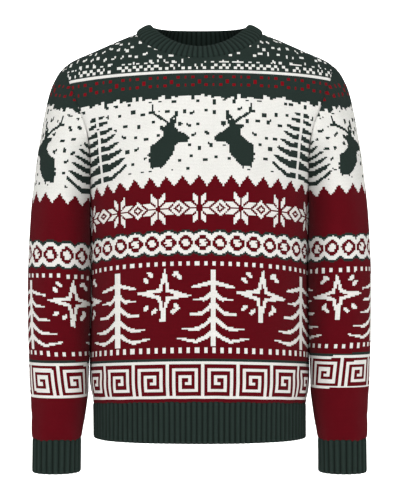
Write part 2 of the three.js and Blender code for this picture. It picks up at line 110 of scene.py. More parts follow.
# How far the knitted rows hang lower at the sides: height, drop, tilt to one side
ROW_DROP = [
    (10, 6, 0), (-50, 9, 2), (-73, 11.5, 3), (-114, 20, 5), (-160, 24, 5), (-240, 25, 5),
    (-350, 21, 0), (-375, 22, 0), (-511, 17, 0), (-525, 14, 0), (-590, 13, 0), (-655, 1, 0),
]

# Soft creases on the panels: across and height of both ends, half width, depth
PANEL_CREASES = [
    (178, -176, 120, -205, 14, -2.2), (182, -205, 128, -262, 16, -1.8),
    (-177, -170, -124, -196, 13, -2.4), (-184, -212, -140, -275, 16, -1.6),
    (200, -96, 176, -150, 12, 1.4), (-200, -92, -178, -152, 12, 1.6),
    (-215, -330, -150, -352, 15, -1.2), (214, -352, 160, -380, 15, -1.3),
    (-220, -540, -120, -562, 13, -1.6), (222, -530, 150, -560, 13, -1.9),
    (60, -572, 6, -580, 9, -0.8), (-95, -574, -30, -582, 9, -0.7),
]

# Soft creases on a sleeve: distance from its outer line and height of both ends, half width, depth
SLEEVE_CREASES = [
    (64, -96, 84, -160, 12, 1.6), (96, -150, 112, -225, 12, -2.2),
    (122, -205, 128, -300, 11, -1.8), (150, -352, 84, -378, 12, -2.0),
    (156, -398, 96, -416, 12, -1.7), (150, -446, 108, -462, 11, -1.2),
    (20, -600, 92, -612, 11, -1.5), (-30, -612, 40, -624, 9, -1.2),
    (60, -632, 122, -640, 9, -1.5), (-60, -120, -92, -190, 13, -1.8),
    (-150, -360, -80, -386, 13, -2.0), (-150, -440, -90, -452, 12, -1.5),
    (-100, -596, -30, -610, 11, -1.4), (-120, -632, -60, -640, 9, -1.2),
]


def read_table(table, column, z):
    rows = sorted(table)
    xs = np.array([row[0] for row in rows], float)
    ys = np.array([row[column] for row in rows], float)
    slope = np.diff(ys) / np.diff(xs)
    tangent = np.zeros(len(xs))
    tangent[0] = slope[0]
    tangent[-1] = slope[-1]
    before = slope[:-1]
    after = slope[1:]
    same = before * after > 0
    total = np.where(same, before + after, 1.0)
    tangent[1:-1] = np.where(same, 2 * before * after / total, 0.0)
    at = np.clip(np.asarray(z, float), xs[0], xs[-1])
    k = np.clip(np.searchsorted(xs, at, side="right") - 1, 0, len(xs) - 2)
    step = xs[k + 1] - xs[k]
    f = (at - xs[k]) / step
    h00 = (1 + 2 * f) * (1 - f) ** 2
    h10 = f * (1 - f) ** 2
    h01 = f * f * (3 - 2 * f)
    h11 = f * f * (f - 1)
    return h00 * ys[k] + h10 * step * tangent[k] + h01 * ys[k + 1] + h11 * step * tangent[k + 1]


def smooth_max(a, b, blend):
    h = np.clip(0.5 + 0.5 * (a - b) / blend, 0, 1)
    return b + (a - b) * h + blend * h * (1 - h)


def smooth_step(a, b, x):
    t = np.clip((x - a) / (b - a), 0, 1)
    return t * t * (3 - 2 * t)


def running_length(x, y):
    return np.concatenate([[0], np.cumsum(np.hypot(np.diff(x), np.diff(y)))])


def along_line(x, z, x0, z0, x1, z1):
    """Share of the way along a line, and distance from it."""
    run = (x1 - x0) ** 2 + (z1 - z0) ** 2
    t = np.clip(((x - x0) * (x1 - x0) + (z - z0) * (z1 - z0)) / run, 0, 1)
    return t, np.hypot(x - x0 - t * (x1 - x0), z - z0 - t * (z1 - z0))


# Torso surface. side is -1 for the front half and +1 for the back half
def torso_sizes(z, side):
    return read_table(TORSO, 1, z), read_table(TORSO, 2 if side < 0 else 3, z)


def section_rest(share):
    """Share of one half axis at a share of the other."""
    return np.clip(1 - share**TORSO_POWER, 0, None) ** (1 / TORSO_POWER)


def torso_x(y, z):
    front = read_table(TORSO, 2, z)
    back = read_table(TORSO, 3, z)
    depth = np.where(np.asarray(y) < 0, front, back)
    return read_table(TORSO, 1, z) * section_rest(np.abs(y) / depth)


TORSO_LEVELS = np.arange(-665.0, 1.0, 1.0)
TORSO_WIDTHS = np.arange(0.0, 331.0, 1.0)


def torso_lookup(side):
    angle = np.linspace(0, math.pi / 2, 260)
    power = 2 / TORSO_POWER
    half, depth = torso_sizes(TORSO_LEVELS, side)
    xs = np.zeros((len(TORSO_LEVELS), len(TORSO_WIDTHS)))
    ys = np.zeros_like(xs)
    totals = np.zeros(len(TORSO_LEVELS))
    for k in range(len(TORSO_LEVELS)):
        x = half[k] * np.sin(angle) ** power
        y = depth[k] * np.clip(np.cos(angle), 0, 1) ** power
        y[-1] = 0
        run = running_length(x, y)
        totals[k] = run[-1]
        beyond = np.clip(TORSO_WIDTHS - run[-1], 0, None)
        xs[k] = np.interp(TORSO_WIDTHS, run, x)
        ys[k] = np.interp(TORSO_WIDTHS, run, y) - beyond
    return xs, ys, totals


TORSO_LOOKUP = {side: torso_lookup(side) for side in (-1, 1)}


def torso_total(z, side):
    return np.interp(z, TORSO_LEVELS, TORSO_LOOKUP[side][2])


def torso_point(across, z, side):
    xs, ys, _ = TORSO_LOOKUP[side]
    w = np.clip(np.abs(across), 0, TORSO_WIDTHS[-1] - 1.001)
    level = np.clip(z - TORSO_LEVELS[0], 0, len(TORSO_LEVELS) - 1.001)
    k = level.astype(int)
    m = w.astype(int)
    level_part = level - k
    fw = w - m
    point = []
    for grid in (xs, ys):
        low = grid[k, m] * (1 - fw) + grid[k, m + 1] * fw
        high = grid[k + 1, m] * (1 - fw) + grid[k + 1, m + 1] * fw
        point.append(low * (1 - level_part) + high * level_part)
    return np.stack([np.sign(across) * point[0], side * point[1], z + 0 * point[0]], axis=-1)


def armhole_seam(z, side):
    z = np.asarray(z, float)
    upper = np.clip(z, ARM_TOUCH_Z, SHOULDER_TIP_Z - 0.01)
    x = read_table(ARMHOLE, 1, upper)
    half, depth = torso_sizes(upper, side)
    y = depth * section_rest(x / half)
    y = y * np.where(z < ARM_TOUCH_Z, read_table(UNDERARM, 1, z), 1.0)
    x = np.where(z < ARM_TOUCH_Z, torso_x(side * y, z), x)
    return x, side * y


def armhole_across(z, side):
    x = armhole_seam(z, side)[0]
    out = np.zeros_like(z)
    xs = TORSO_LOOKUP[side][0]
    for k, height in enumerate(z):
        level = int(np.clip(round(height - TORSO_LEVELS[0]), 0, len(TORSO_LEVELS) - 1))
        out[k] = np.interp(x[k], xs[level][:300], TORSO_WIDTHS[:300])
    return out


ARMHOLE_LEVELS = np.arange(-241.0, -49.5, 0.5)
ARMHOLE_ACROSS = {side: armhole_across(ARMHOLE_LEVELS, side) for side in (-1, 1)}


# Sleeve surface: half a section from its outermost point to the seam
def sleeve_depth(z, side):
    upper = np.clip(z, ARM_TOUCH_Z, SHOULDER_TIP_Z - 1.0)
    seam_x, seam_y = armhole_seam(upper, side)
    middle = read_table(SLEEVE, 2, upper)
    half = read_table(SLEEVE, 1, upper) - middle
    rest = 1 - (np.abs(seam_x - middle) / half) ** SLEEVE_POWER
    above = np.abs(seam_y) / rest ** (1 / SLEEVE_POWER)
    below = read_table(SLEEVE_DEPTH, 2 if side < 0 else 3, z)
    ease = smooth_step(UNDERARM_Z, ARM_TOUCH_Z, z)
    return below + (above - below) * ease


def sleeve_half(z, side, count=140):
    outer = float(read_table(SLEEVE, 1, z))
    middle = float(read_table(SLEEVE, 2, z))
    half = outer - middle
    centre = float(read_table(SLEEVE_DEPTH, 1, z))
    depth = float(sleeve_depth(np.array([z]), side)[0])
    end = math.pi
    seam_y = 0.0
    if z > UNDERARM_Z:
        sx, sy = armhole_seam(np.array([z]), side)
        seam_y = float(sy[0])
        across = (float(sx[0]) - middle) / half
        rise = min(abs(seam_y - centre) / depth, 1) ** (SLEEVE_POWER / 2)
        if z >= ARM_TOUCH_Z:
            end = math.atan2(rise, math.copysign(abs(across) ** (SLEEVE_POWER / 2), across))
        else:
            end = math.pi - math.asin(min(rise, 1))
    angle = np.linspace(0, end, count)
    c = np.cos(angle)
    s = np.clip(np.sin(angle), 0, 1)
    free = middle + half * np.sign(c) * np.abs(c) ** (2 / SLEEVE_POWER)
    y = centre + side * depth * s ** (2 / SLEEVE_POWER)
    if z > UNDERARM_Z:
        away = np.clip(np.abs(y) - abs(seam_y), 0, None)
    else:
        away = np.hypot(np.abs(y), UNDERARM_Z - z)
    # The arm rests on the body: close at the seam, looser away from it
    gap = 0.3 + 1.4 * (1 - np.exp(-away / 20))
    blend = 0.4 + 5 * (1 - np.exp(-away / 40))
    held = smooth_max(free, torso_x(y, np.full_like(y, z)) + gap, blend)
    x = np.where((c < 0) | (z > ARM_TOUCH_Z), held, free)
    run = running_length(x, y)
    return x, y, run


# Pictures in the knitting: every shape is a mask over across (X) and height (Z)
GREEN = 0
RED = 1
WHITE = 2
BRIGHT = 3


def inside_outline(x, z, outline):
    inside = np.zeros(x.shape, bool)
    for k in range(len(outline)):
        x0, z0 = outline[k - 1]
        x1, z1 = outline[k]
        if z0 == z1:
            continue
        crosses = (z0 > z) != (z1 > z)
        at = x0 + (z - z0) * (x1 - x0) / (z1 - z0)
        inside ^= crosses & (x < at)
    return inside


def near_line(x, z, points, widths):
    found = np.zeros(x.shape, bool)
    for k in range(len(points) - 1):
        t, away = along_line(x, z, *points[k], *points[k + 1])
        wide = widths[k] + (widths[k + 1] - widths[k]) * t
        found |= away < wide / 2
    return found


def spread(mask, steps):
    out = mask.copy()
    for _ in range(steps):
        grown = out.copy()
        grown[1:] |= out[:-1]
        grown[:-1] |= out[1:]
        grown[:, 1:] |= out[:, :-1]
        grown[:, :-1] |= out[:, 1:]
        out = grown
    return out


# A stag's head and neck that looks to the right, from the foot of its antlers
STAG_BODY = [
    (23, -14), (26.5, -18), (26, -22), (23.5, -25), (12, -25), (6.5, -28), (4, -34), (3.5, -42),
    (-3, -50), (-9, -57), (-15, -62), (-17, -66), (-19, -61.5), (-26, -61.5), (-31, -64.5),
    (-32.5, -53), (-36, -51), (-33, -45), (-37, -42), (-32.5, -38), (-32, -31), (-34, -27.5),
    (-25, -24), (-18.5, -19), (-13.5, -14), (-12.5, -7), (-17, -2), (-18, 3.5), (-11, 1.5), (-6, 2),
    (-3, 6), (3, 6), (4, -1.5), (9, -3.5), (10.5, -7), (16, -9.5),
]
STAG_ANTLERS = [
    [(-2, 3), (-12, 12), (-22, 18.5), (-28, 23), (-29.5, 35)],
    [(-27, 24), (-34, 24.5)],
    [(0, 3), (-1, 10), (3, 15), (7, 17)],
    [(3, 3), (6, 10), (7, 22)],
]
STAG_LEAF = [(10, 1.5), (10, 6), (14, 8), (17.5, 3), (13, -1)]


def stag(x, z, facing):
    x = x * facing
    mask = inside_outline(x, z, STAG_BODY)
    mask |= inside_outline(x, z, STAG_LEAF)
    for line in STAG_ANTLERS:
        mask |= near_line(x, z, line, [4.8 - 0.3 * k for k in range(len(line))])
    return mask


# A tall fir from its top: height of each branch's root, reach, rise of its tip, thickness
FIR_BRANCHES = [
    (-4, 11, 1, 7), (-14, 16, 2, 7.5), (-27, 23, 4, 8), (-39, 27, 5, 9), (-52, 32, 6, 9.5),
    (-65.5, 37, 7, 12), (-81, 42, 9, 13.5), (-98, 46, 15, 8.5),
]


def fir(x, z, outward):
    mask = np.zeros(x.shape, bool)
    outer = x * outward
    for root, reach, rise, thick in FIR_BRANCHES:
        sag = min(0.12 * rise, 2)
        inner_line = [(0, root), (-0.45 * reach, root - sag), (-0.8 * reach, root + 0.5 * rise)]
        inner_line.append((-reach, root + rise))
        mask |= near_line(outer, z, inner_line, [thick, 0.8 * thick, 0.6 * thick, 4])
        outer_line = [(0, root), (reach, root - 0.16 * reach)]
        mask |= near_line(outer, z, outer_line, [thick, 4])
    mask &= (np.abs(x) > 1.3) & (z < 0)
    return mask


# A pine with drooping branches, from its top: four points of each branch
PINE_BRANCHES = [
    [(0, -20), (8, -23.5), (20, -26.5), (32, -28.5)],
    [(0, -34), (7, -43), (14, -48), (30, -48.5)],
    [(0, -53), (9, -63), (18, -69.5), (36, -71)],
    [(0, -75), (12, -86.5), (24, -93.5), (47, -94)],
    [(0, -97), (13, -107), (27, -113.5), (54, -108)],
]


def pine(x, z):
    ax = np.abs(x)
    mask = (ax < 3.9) & (z < -2) & (z > -120)
    for line in PINE_BRANCHES:
        mask |= near_line(ax, z, line, [6.4, 6.0, 5.2, 2.8])
    return mask


# Small marks round a star: across, height, lean
SPARKS = [
    (-23, 30, -1), (-29, 20, -1), (17, 33, 1), (23, 28, -1),
    (-27, -22, 1), (-14, -27, 1), (21, -18, -1), (17, -25, 1),
]


def four_point_star(x, z):
    z = z + 0.07 * x
    x = x - 0.05 * z
    ax = np.abs(x)
    az = np.abs(z)
    outer = near_line(ax, az, [(0, 0), (41, 0)], [21, 2.4])
    outer |= near_line(ax, az, [(0, 0), (0, 38)], [21, 2.4])
    stem = (ax < 3.8) & (z < -18) & (z > -42)
    core = near_line(ax, az, [(0, 0), (19, 0)], [9.5, 0.6])
    core |= near_line(ax, az, [(0, 0), (0, 21)], [9.5, 0.6])
    mask = (outer | stem) & ~core
    for sx, sz, lean in SPARKS:
        dx = x - sx
        dz = z - sz
        mask |= ((dx + lean * dz) / 8.2) ** 2 + ((dx - lean * dz) / 4.6) ** 2 < 1
    return mask


# A snow crystal of eight petals
PETAL = [(1.6, 3), (1.6, 13), (9, 21.5), (9, 11.5)]


def snow_crystal(x, z, size):
    ax = np.abs(x) / size
    az = np.abs(z) / size
    mask = inside_outline(ax, az, PETAL)
    mask |= inside_outline(az, ax, PETAL)
    return mask


# Forms of a fleck: highest draw, then boxes with their middle, half width and half height
FLECK_FORMS = [
    (0.34, [(0, 0, 2.6, 2.4)]),
    (0.55, [(0, 0, 3.9, 2.3)]),
    (0.72, [(0, 0, 2.6, 3.6)]),
    (0.86, [(-1.3, -0.8, 2.6, 2.3), (2.4, 2.0, 1.5, 2.3)]),
    (1.0, [(1.3, -0.8, 2.6, 2.3), (-2.4, 2.0, 1.5, 2.3)]),
]


def fleck_mask(x, z, spacing, seed, share, size=1.0):
    chooser = np.random.RandomState(seed)
    mask = np.zeros(x.shape, bool)
    low_x = math.floor(x.min() / spacing) - 1
    high_x = math.ceil(x.max() / spacing) + 1
    low_z = math.floor(z.min() / spacing) - 1
    high_z = math.ceil(z.max() / spacing) + 1
    for i in range(low_x, high_x):
        for j in range(low_z, high_z):
            take, px, pz, form = chooser.rand(4)
            if take > share:
                continue
            cx = (i + 0.5 + 0.5 * (j % 2) + 0.5 * (px - 0.5)) * spacing
            cz = (j + 0.5 + 0.5 * (pz - 0.5)) * spacing
            dx = (x - cx) / size
            dz = (z - cz) / size
            boxes = next(boxes for limit, boxes in FLECK_FORMS if form < limit)
            for bx, bz, wide, high in boxes:
                mask |= (np.abs(dx - bx) < wide) & (np.abs(dz - bz) < high)
    return mask


# A square key, mirrored on both sides of a white column. Cells are two stitches wide
KEY_ROWS = [
    "RRRRRRRRRR.",
    "R........R.",
    "R.RRRRRR.R.",
    "R.R....R.R.",
    "R.R.RR.R.R.",
    "R.R..R.R.R.",
    "R.RRRR.R.R.",
    "R......R.R.",
    "RRRRRRRR.R.",
]
KEY_CELL_WIDE = 5.0
KEY_CELL_HIGH = 5.4
KEY_MARKS = np.array([[mark == "R" for mark in row] for row in KEY_ROWS])


def square_key(x, z, top, middle):
    column = np.floor((np.abs(x - middle) - KEY_CELL_WIDE / 2) / KEY_CELL_WIDE).astype(int)
    row = np.floor((top - z) / KEY_CELL_HIGH).astype(int)
    inside = (row >= 0) & (row < len(KEY_ROWS))
    marks = KEY_MARKS[np.clip(row, 0, len(KEY_ROWS) - 1), np.mod(column, KEY_MARKS.shape[1])]
    return marks & inside


# Rows of snow over the stripe: lowest, highest, offset, width of a mark, share left out
SNOW_ROWS = [
    (-59.9, -55.8, 5.7, 5.2, 0.42),
    (-64.8, -60.2, 0, 5.4, 0.16),
    (-69.2, -65.0, 5.7, 5.0, 0.1),
]

# Bands of the knitting, as heights at the middle of the front
SNOW_ROW_PITCH = 11.5
STRIPE = (-76, -71)
BERRY_PAIRS = (-82.6, -96)
BERRY_SINGLE = -89.4
BERRY_PITCH = 42.5
BERRY_GAP = 10.9
FIELD_TOP = -110.5
FIELD_TEAR = 8.5
FLECKS = (-228, -120)
STAG_FOOT = -160.5
FIR_TOP = -130
PEAK_FOOT = -254
PEAK_HIGH = 17
PEAK_PITCH = 24.8
CRYSTALS = -288
CRYSTAL_PITCH = 64
WREATHS = -341.8
WREATH_PITCH = 26.4
SQUARE_ROWS = (-374.4, -508.7)
SQUARE_PITCH = 12.8
PINE_TOP = -381.5
PINE_PITCH = 154
STAR_MIDDLE = -421
STAR_LIMIT = -379
THIN_LINE = (-525.8, -521.6)
KEY_TOP = -530.5
KEY_FOOT = -583


def between(z, limits):
    return (z > limits[0]) & (z < limits[1])


def draw_snow_rows(codes, x, z, steps, drop):
    for (low, high, offset, wide, missing), chance in zip(SNOW_ROWS, (steps, drop, drop)):
        marks = (np.mod(x + offset, SNOW_ROW_PITCH) < wide) & (chance > missing)
        codes[between(z, (low, high)) & marks] = WHITE
    codes[between(z, STRIPE)] = WHITE


def draw_berries(codes, x, z):
    half = BERRY_PITCH / 2
    place = np.mod(x, BERRY_PITCH) - half
    for height in BERRY_PAIRS:
        row = np.abs(z - height) < 2.3
        for dot in (-BERRY_GAP, 0, BERRY_GAP):
            codes[row & (np.abs(place - dot) < 2.4)] = BRIGHT
    single = np.minimum(np.abs(place - half), np.abs(place + half))
    codes[(np.abs(z - BERRY_SINGLE) < 3.3) & (single < 3.2)] = BRIGHT


def draw_crystals(codes, x, z):
    up = z - CRYSTALS
    for k in range(-6, 7):
        across = x - CRYSTAL_PITCH * k
        codes[snow_crystal(across, up, 1.18)] = WHITE
        lozenge = np.abs(across - CRYSTAL_PITCH / 2) + np.abs(up)
        codes[between(lozenge, (7.5, 13.5))] = WHITE
        codes[lozenge < 3] = WHITE


def draw_wreaths(codes, x, z):
    up = z - WREATHS
    ring = np.mod(x + 8, WREATH_PITCH) - WREATH_PITCH / 2
    away = np.hypot(ring, up)
    leaf = np.mod(np.floor(np.degrees(np.arctan2(up, ring)) / 45 + 0.5), 2) == 0
    codes[away < 20.8] = GREEN
    codes[(away < 17.4) | (np.abs(up) < 9)] = WHITE
    codes[between(away, (6.3, 11.9)) & (leaf | (away < 10.4))] = RED
    codes[(np.abs(up - 0.6 * ring) < 1.7) & between(np.abs(ring), (3.2, 7))] = RED


def chart(x, z, stags, firs, shift, seed, worn):
    """Yarn code of each stitch. Later bands cover earlier ones."""
    ragged = np.random.RandomState(seed + 5)
    columns = x.shape[1]
    steps = np.repeat(ragged.rand(columns // 2 + 2), 2)[:columns]
    codes = np.full(x.shape, GREEN)
    codes[(z > -60) & fleck_mask(x, z, 12.8, seed, 0.8, 0.78)] = WHITE
    if worn == "body":
        drop = np.repeat(ragged.rand(columns // 2 + 2), 2)[:columns]
        draw_snow_rows(codes, x, z, steps, drop)
    draw_berries(codes, x, z)

    # White field with a torn upper edge, stags, firs and snow
    field = z < (FIELD_TOP - FIELD_TEAR * steps)[None, :]
    codes[field] = WHITE
    picture = np.zeros(x.shape, bool)
    for place, facing in stags:
        picture |= stag(x - place, z - STAG_FOOT, facing)
    for place in firs:
        picture |= fir(x - place, z - FIR_TOP, np.sign(place))
    snow = fleck_mask(x, z, 18.3, seed + 1, 0.93) & ~spread(picture, 2) & between(z, FLECKS)
    codes[field & (snow | picture)] = GREEN

    # Peaks, then red down to the hem
    wave = np.abs(np.mod(x + 1, PEAK_PITCH) / PEAK_PITCH - 0.5) * 2
    codes[z < PEAK_FOOT + PEAK_HIGH * wave] = RED
    if worn == "body":
        draw_crystals(codes, x, z)
    draw_wreaths(codes, x, z)
    for height in SQUARE_ROWS:
        codes[(np.abs(z - height) < 3.7) & (np.mod(x + 6.4, SQUARE_PITCH) < 5.2)] = WHITE
    for k in range(-3, 4):
        across = x - shift - PINE_PITCH * k
        codes[pine(across, z - PINE_TOP)] = WHITE
        star = four_point_star(across - PINE_PITCH / 2, z - STAR_MIDDLE)
        codes[star & (z < STAR_LIMIT)] = WHITE

    # Thin green line, then the key on white
    codes[between(z, THIN_LINE)] = GREEN
    codes[(z <= THIN_LINE[0]) & (z > KEY_FOOT)] = WHITE
    codes[square_key(x, z, KEY_TOP, 4 if worn == "body" else 30)] = RED
    codes[z <= KEY_FOOT] = RED
    return codes


# Mesh making
def add_object(name, data):
    added = bpy.data.objects.new(name, data)
    bpy.context.scene.collection.objects.link(added)
    return added


class Cloth:
    def __init__(self):
        self.points = []
        self.faces = []
        self.uvs = []
        self.codes = []
        self.shades = []

    def add_points(self, points):
        start = sum(len(p) for p in self.points)
        self.points.append(np.asarray(points, float).reshape(-1, 3))
        return start

    def add_face(self, face, uv, code=0, shade=1.0):
        self.faces.append(face)
        self.uvs.append(uv)
        self.codes.append(code)
        self.shades.append(shade)

    def make(self, name, material, tints=None):
        mesh = bpy.data.meshes.new(name)
        points = np.concatenate(self.points) * MM
        sizes = np.array([len(face) for face in self.faces])
        loops = np.concatenate([np.asarray(face, int) for face in self.faces])
        mesh.vertices.add(len(points))
        mesh.vertices.foreach_set("co", points.ravel())
        mesh.loops.add(len(loops))
        mesh.loops.foreach_set("vertex_index", loops)
        mesh.polygons.add(len(sizes))
        starts = np.concatenate([[0], np.cumsum(sizes)[:-1]])
        mesh.polygons.foreach_set("loop_start", starts)
        mesh.polygons.foreach_set("loop_total", sizes)
        mesh.polygons.foreach_set("use_smooth", np.ones(len(sizes), bool))
        mesh.update(calc_edges=True)
        layer = mesh.uv_layers.new(name="stitches")
        uvs = np.concatenate([np.asarray(uv, float).reshape(-1, 2) for uv in self.uvs])
        layer.data.foreach_set("uv", uvs.ravel())
        if tints is not None:
            colour = mesh.color_attributes.new(name="yarn", type="FLOAT_COLOR", domain="CORNER")
            per_face = tints[np.array(self.codes)].copy()
            per_face[:, :3] *= np.array(self.shades)[:, None]
            colour.data.foreach_set("color", np.repeat(per_face, sizes, axis=0).ravel())
        mesh.validate()
        mesh.materials.append(material)
        return add_object(name, mesh)


def grid_normals(points, sign):
    across = np.gradient(points, axis=1)
    up = np.gradient(points, axis=0)
    normal = np.cross(across, up)
    length = np.linalg.norm(normal, axis=2, keepdims=True)
    return sign * normal / np.maximum(length, 1e-9)


def boundary_loop(faces):
    directed = {edge for face in faces for edge in zip(face, face[1:] + face[:1])}
    follows = {a: b for a, b in directed if (b, a) not in directed}
    best = []
    unused = set(follows)
    while unused:
        start = min(unused)
        loop = []
        at = start
        while at in unused:
            unused.discard(at)
            loop.append(at)
            at = follows[at]
        if len(loop) > len(best):
            best = loop
    return best


def cut_grid(values, inside):
    """Cells of a grid kept where inside > 0. values holds arrays that are blended at the cut."""
    keep = inside > 0
    ids = -np.ones(inside.shape, int)
    count = int(keep.sum())
    ids[keep] = np.arange(count)
    extra = [[] for _ in values]
    cuts = {}
    corners = np.stack([keep[:-1, :-1], keep[:-1, 1:], keep[1:, 1:], keep[1:, :-1]])
    whole = corners.all(axis=0)
    part = corners.any(axis=0) & ~whole
    j, i = np.nonzero(whole)
    quads = np.stack([ids[j, i], ids[j, i + 1], ids[j + 1, i + 1], ids[j + 1, i]], axis=1)
    faces = quads.tolist()
    cells = np.stack([j, i], axis=1).tolist()
    for j, i in np.argwhere(part):
        ring = [(j, i), (j, i + 1), (j + 1, i + 1), (j + 1, i)]
        face = []
        for k in range(4):
            a = ring[k]
            b = ring[(k + 1) % 4]
            if keep[a]:
                face.append(int(ids[a]))
            if keep[a] != keep[b]:
                key = (min(a, b), max(a, b))
                if key not in cuts:
                    t = inside[key[0]] / (inside[key[0]] - inside[key[1]])
                    t = min(max(t, 0.02), 0.98)
                    for store, value in zip(extra, values):
                        store.append(value[key[0]] * (1 - t) + value[key[1]] * t)
                    cuts[key] = count
                    count += 1
                face.append(cuts[key])
        if len(face) >= 3:
            faces.append(face)
            cells.append([int(j), int(i)])
    merged = [np.concatenate([value[keep], more]) for value, more in zip(values, extra)]
    return merged, faces, cells


def zip_loops(first, second, points):
    """Triangles between two loops of point numbers that run the same way."""
    a = np.array(first)
    gaps = np.linalg.norm(points[np.array(second)] - points[a[0]], axis=1)
    start = int(np.argmin(gaps))
    b = np.roll(np.array(second), -start)
    a = np.append(a, a[0])
    b = np.append(b, b[0])
    i = 0
    j = 0
    faces = []
    while i < len(a) - 1 or j < len(b) - 1:
        step_a = j == len(b) - 1
        if i < len(a) - 1 and j < len(b) - 1:
            one = np.sum((points[a[i + 1]] - points[b[j]]) ** 2)
            two = np.sum((points[a[i]] - points[b[j + 1]]) ** 2)
            step_a = one < two
        if step_a:
            faces.append([int(a[i]), int(a[i + 1]), int(b[j])])
            i += 1
        else:
            faces.append([int(a[i]), int(b[j + 1]), int(b[j])])
            j += 1
    return faces


def values_at(uv, grid):
    j = np.clip(uv[:, 1].astype(int), 0, grid.shape[0] - 1)
    i = np.clip(uv[:, 0].astype(int), 0, grid.shape[1] - 1)
    return grid[j, i].tolist()


def cloth_from_grid(points, normals, inside, codes, shade, flip, coarse=4, inset=4.0):
    """A thin shell: stitch cells outside, a plainer sheet inside, and a rim."""
    rows, columns = inside.shape
    grid_u, grid_v = np.meshgrid(np.arange(columns, dtype=float), np.arange(rows, dtype=float))
    uv = np.stack([grid_u, grid_v], axis=-1)
    (outer, outer_n, outer_uv), faces, cells = cut_grid([points, normals, uv], inside)
    loop = boundary_loop(faces)
    cloth = Cloth()
    cloth.add_points(outer)
    for face, (j, i) in zip(faces, cells):
        turned = face[::-1] if flip else face
        cloth.add_face(turned, outer_uv[turned], int(codes[j, i]), float(shade[j, i]))

    # The rim, drawn in from the edge
    edge_start = cloth.add_points(outer[loop] - WALL * outer_n[loop])
    edge = list(range(edge_start, edge_start + len(loop)))
    rim_codes = values_at(outer_uv[loop], codes)
    rim_shades = values_at(outer_uv[loop], shade)
    for k in range(len(loop)):
        n = (k + 1) % len(loop)
        face = [loop[n], loop[k], edge[k], edge[n]]
        uvs = outer_uv[[loop[n], loop[k], loop[k], loop[n]]]
        if flip:
            face = face[::-1]
            uvs = uvs[::-1]
        cloth.add_face(face, uvs, rim_codes[k], rim_shades[k])

    # The inner sheet, and a strip from it to the rim
    small = (points - WALL * normals)[::coarse, ::coarse]
    small_uv = uv[::coarse, ::coarse]
    (inner, inner_uv), inner_faces, _ = cut_grid([small, small_uv], inside[::coarse, ::coarse] - inset)
    start = cloth.add_points(inner)
    all_points = np.concatenate(cloth.points)
    all_uv = np.concatenate([outer_uv, outer_uv[loop], inner_uv])
    moved = [[k + start for k in face] for face in inner_faces]
    strip = zip_loops(edge, [k + start for k in boundary_loop(inner_faces)], all_points)
    for group in (moved, strip):
        centres = np.array([all_uv[face].mean(axis=0) for face in group])
        for face, code in zip(group, values_at(centres, codes)):
            turned = face if flip else face[::-1]
            cloth.add_face(turned, all_uv[turned], code)
    return cloth


# A crease rises or sinks, with a lower and wider shoulder of the other sign
CREASE_SHOULDER = 0.35
CREASE_REACH = 2.2


def crease_depth(x, z, creases):
    depth = np.zeros(x.shape)
    for x0, z0, x1, z1, wide, deep in creases:
        along, away = along_line(x, z, x0, z0, x1, z1)
        fade = 0.35 + 0.65 * np.sin(np.pi * np.clip(0.15 + 0.7 * along, 0, 1))
        fold = np.exp(-((away / wide) ** 2))
        shoulder = CREASE_SHOULDER * np.exp(-((away / (CREASE_REACH * wide)) ** 2))
        depth += deep * fade * (fold - shoulder)
    return depth


def seam_sink(inside):
    return -1.5 * np.exp(-((np.clip(inside, 0, None) / 2.6) ** 2))


# Front and back panels
SHOULDER_ROWS_Z = -46.0
SHOULDER_STITCH_HIGH = 1.7


def row_heights():
    lower = np.arange(HEM_SEAM_Z, SHOULDER_ROWS_Z, STITCH_HIGH)
    upper = np.arange(lower[-1] + SHOULDER_STITCH_HIGH, 11.0, SHOULDER_STITCH_HIGH)
    return np.concatenate([lower, upper])


def panel_height(across, centre):
    drop = read_table(ROW_DROP, 1, centre)
    tilt = read_table(ROW_DROP, 2, centre)
    share = across / PANEL_HALF
    return centre - drop * share**2 + tilt * share


def neck_line(x, side):
    """Height of the neck seam, an ellipse-like edge seen from the front."""
    low = NECK_FRONT_Z if side < 0 else NECK_BACK_Z
    return low * np.clip(1 - (x / NECK_HALF_WIDTH) ** 2, 0, None) ** 0.6


def cell_middle(grid):
    return (grid[:-1, :-1] + grid[1:, 1:]) / 2


# Panel picture: stags with the way they face, firs, shift of the pines
PANEL_STAGS = [(-42.5, 1), (49.2, -1)]
PANEL_FIRS = [-160, 160]
PANEL_SHIFT = 21.5
PANEL_SEED = {-1: 11, 1: 23}


